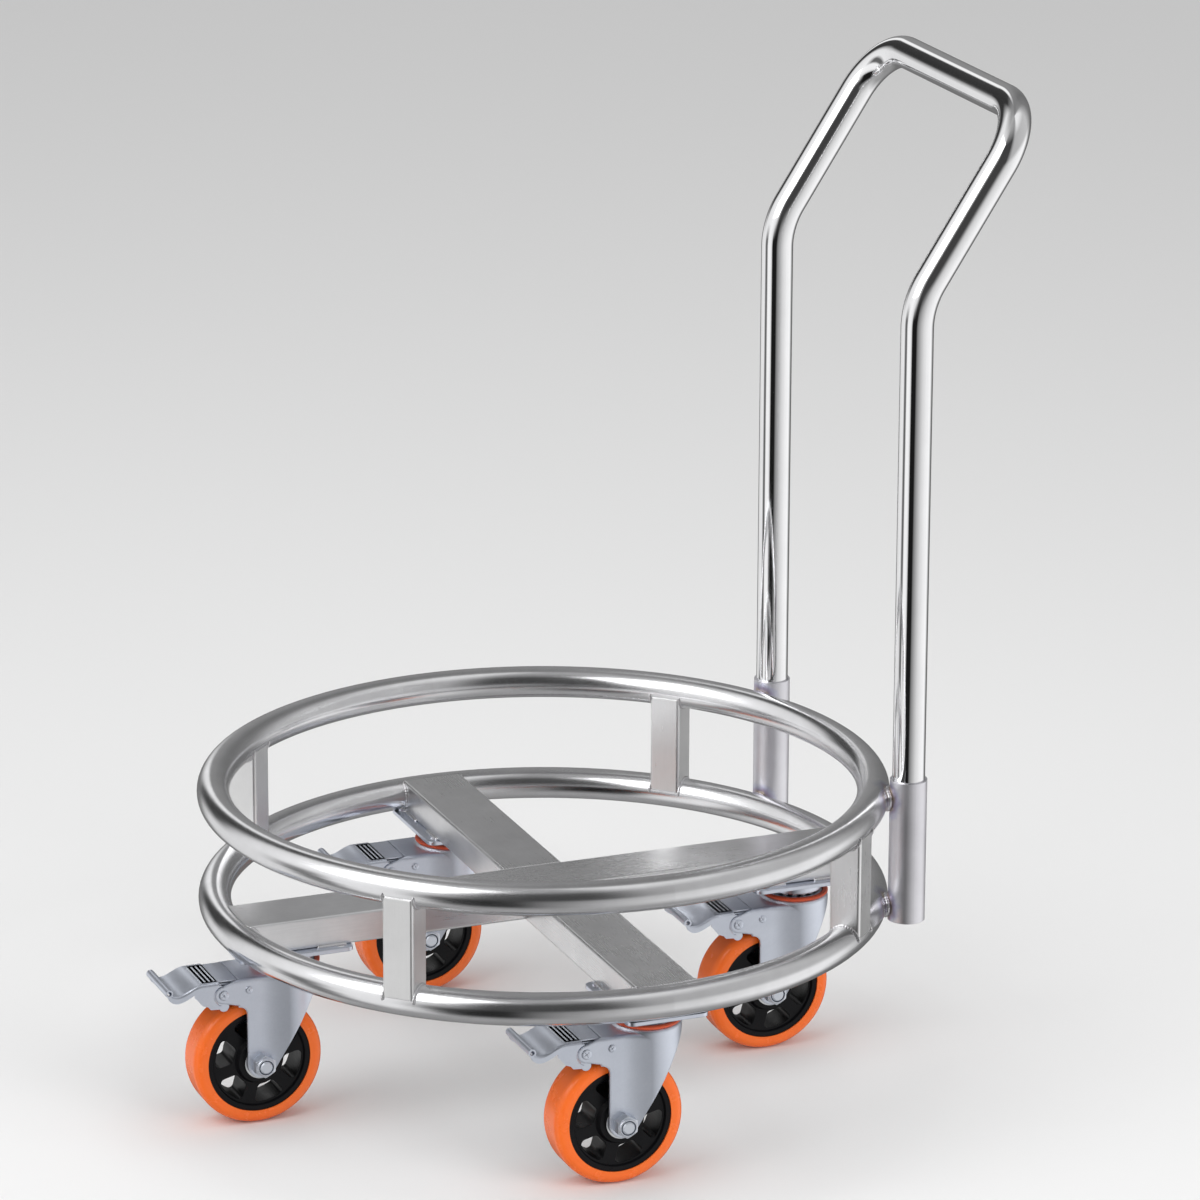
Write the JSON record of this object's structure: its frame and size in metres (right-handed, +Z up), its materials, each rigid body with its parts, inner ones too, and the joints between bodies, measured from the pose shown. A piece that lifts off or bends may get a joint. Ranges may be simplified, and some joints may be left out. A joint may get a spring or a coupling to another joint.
{
  "type": "service cart",
  "caption": "Round stainless tube base with cross bars, braked swivel casters and a plug-in push handle, for moving a gas cylinder.",
  "frame": {"origin": "on the floor, under the middle of the whole cart's box", "axes": "+Z up, +Y towards the push handle at the back, +X to the left of a person who pushes it"},
  "size_m": [0.5399, 0.6743, 0.7918],
  "materials": {
    "tube_steel": "satin stainless tube",
    "bar_steel": "satin stainless box tube",
    "socket_steel": "satin stainless socket tube",
    "polished_tube": "polished stainless handle tube",
    "zinc_steel": "bright zinc plated pressed steel",
    "bearing_steel": "ground bearing steel",
    "orange_seal": "moulded orange dust seal",
    "black_core": "moulded black nylon core",
    "orange_tyre": "orange polyurethane tread"
  },
  "bodies": {
    "frame": {"top_ring": "tube_steel", "bottom_ring": "tube_steel", "long_cross_bar": "bar_steel", "left_cross_bar": "bar_steel", "right_cross_bar": "bar_steel", "left_handle_socket": "socket_steel", "right_handle_socket": "socket_steel", "socket_stops": "socket_steel", "kingpins": "zinc_steel", "swivel_balls": "bearing_steel", "front_left_post": "bar_steel", "front_right_post": "bar_steel", "rear_left_post": "bar_steel", "rear_right_post": "bar_steel", "front_caster_plate": "zinc_steel", "rear_caster_plate": "zinc_steel", "left_caster_plate": "zinc_steel", "right_caster_plate": "zinc_steel"},
    "handle": {"handle_tube": "polished_tube"},
    "front_swivel": {"front_fork": "zinc_steel", "front_dust_ring": "orange_seal", "front_axle_bolt": "zinc_steel", "front_axle_nut": "zinc_steel", "front_fork_pins": "zinc_steel"},
    "front_wheel": {"front_bearings": "bearing_steel", "front_hub": "black_core", "front_tyre": "orange_tyre"},
    "front_pedal": {"front_brake_pedal": "zinc_steel", "front_brake_cam": "zinc_steel"},
    "rear_swivel": {"rear_fork": "zinc_steel", "rear_dust_ring": "orange_seal", "rear_axle_bolt": "zinc_steel", "rear_axle_nut": "zinc_steel", "rear_fork_pins": "zinc_steel"},
    "rear_wheel": {"rear_bearings": "bearing_steel", "rear_hub": "black_core", "rear_tyre": "orange_tyre"},
    "rear_pedal": {"rear_brake_pedal": "zinc_steel", "rear_brake_cam": "zinc_steel"},
    "left_swivel": {"left_fork": "zinc_steel", "left_dust_ring": "orange_seal", "left_axle_bolt": "zinc_steel", "left_axle_nut": "zinc_steel", "left_fork_pins": "zinc_steel"},
    "left_wheel": {"left_bearings": "bearing_steel", "left_hub": "black_core", "left_tyre": "orange_tyre"},
    "left_pedal": {"left_brake_pedal": "zinc_steel", "left_brake_cam": "zinc_steel"},
    "right_swivel": {"right_fork": "zinc_steel", "right_dust_ring": "orange_seal", "right_axle_bolt": "zinc_steel", "right_axle_nut": "zinc_steel", "right_fork_pins": "zinc_steel"},
    "right_wheel": {"right_bearings": "bearing_steel", "right_hub": "black_core", "right_tyre": "orange_tyre"},
    "right_pedal": {"right_brake_pedal": "zinc_steel", "right_brake_cam": "zinc_steel"}
  },
  "joints": [
    {"name": "handle_lift", "type": "slide", "parent": "frame", "child": "handle", "axis": [0, 0, 1], "range_m": [0, 0.125]},
    {"name": "front_swivel_turn", "type": "hinge", "parent": "frame", "child": "front_swivel", "pos_m": [0, -0.23198, 0.12925], "axis": [0, 0, 1], "continuous": true},
    {"name": "front_wheel_spin", "type": "hinge", "parent": "front_swivel", "child": "front_wheel", "pos_m": [0, -0.25898, 0.052], "axis": [1, 0, 0], "continuous": true},
    {"name": "front_pedal_press", "type": "hinge", "parent": "front_swivel", "child": "front_pedal", "pos_m": [0, -0.28948, 0.1125], "axis": [1, 0, 0], "range_deg": [0, 18]},
    {"name": "rear_swivel_turn", "type": "hinge", "parent": "frame", "child": "rear_swivel", "pos_m": [0, 0.19702, 0.12925], "axis": [0, 0, 1], "continuous": true},
    {"name": "rear_wheel_spin", "type": "hinge", "parent": "rear_swivel", "child": "rear_wheel", "pos_m": [0, 0.17002, 0.052], "axis": [1, 0, 0], "continuous": true},
    {"name": "rear_pedal_press", "type": "hinge", "parent": "rear_swivel", "child": "rear_pedal", "pos_m": [0, 0.13952, 0.1125], "axis": [1, 0, 0], "range_deg": [0, 18]},
    {"name": "left_swivel_turn", "type": "hinge", "parent": "frame", "child": "left_swivel", "pos_m": [0.2145, -0.01748, 0.12925], "axis": [0, 0, 1], "continuous": true},
    {"name": "left_wheel_spin", "type": "hinge", "parent": "left_swivel", "child": "left_wheel", "pos_m": [0.2145, -0.04448, 0.052], "axis": [1, 0, 0], "continuous": true},
    {"name": "left_pedal_press", "type": "hinge", "parent": "left_swivel", "child": "left_pedal", "pos_m": [0.2145, -0.07498, 0.1125], "axis": [1, 0, 0], "range_deg": [0, 18]},
    {"name": "right_swivel_turn", "type": "hinge", "parent": "frame", "child": "right_swivel", "pos_m": [-0.2145, -0.01748, 0.12925], "axis": [0, 0, 1], "continuous": true},
    {"name": "right_wheel_spin", "type": "hinge", "parent": "right_swivel", "child": "right_wheel", "pos_m": [-0.2145, -0.04448, 0.052], "axis": [1, 0, 0], "continuous": true},
    {"name": "right_pedal_press", "type": "hinge", "parent": "right_swivel", "child": "right_pedal", "pos_m": [-0.2145, -0.07498, 0.1125], "axis": [1, 0, 0], "range_deg": [0, 18]}
  ]
}
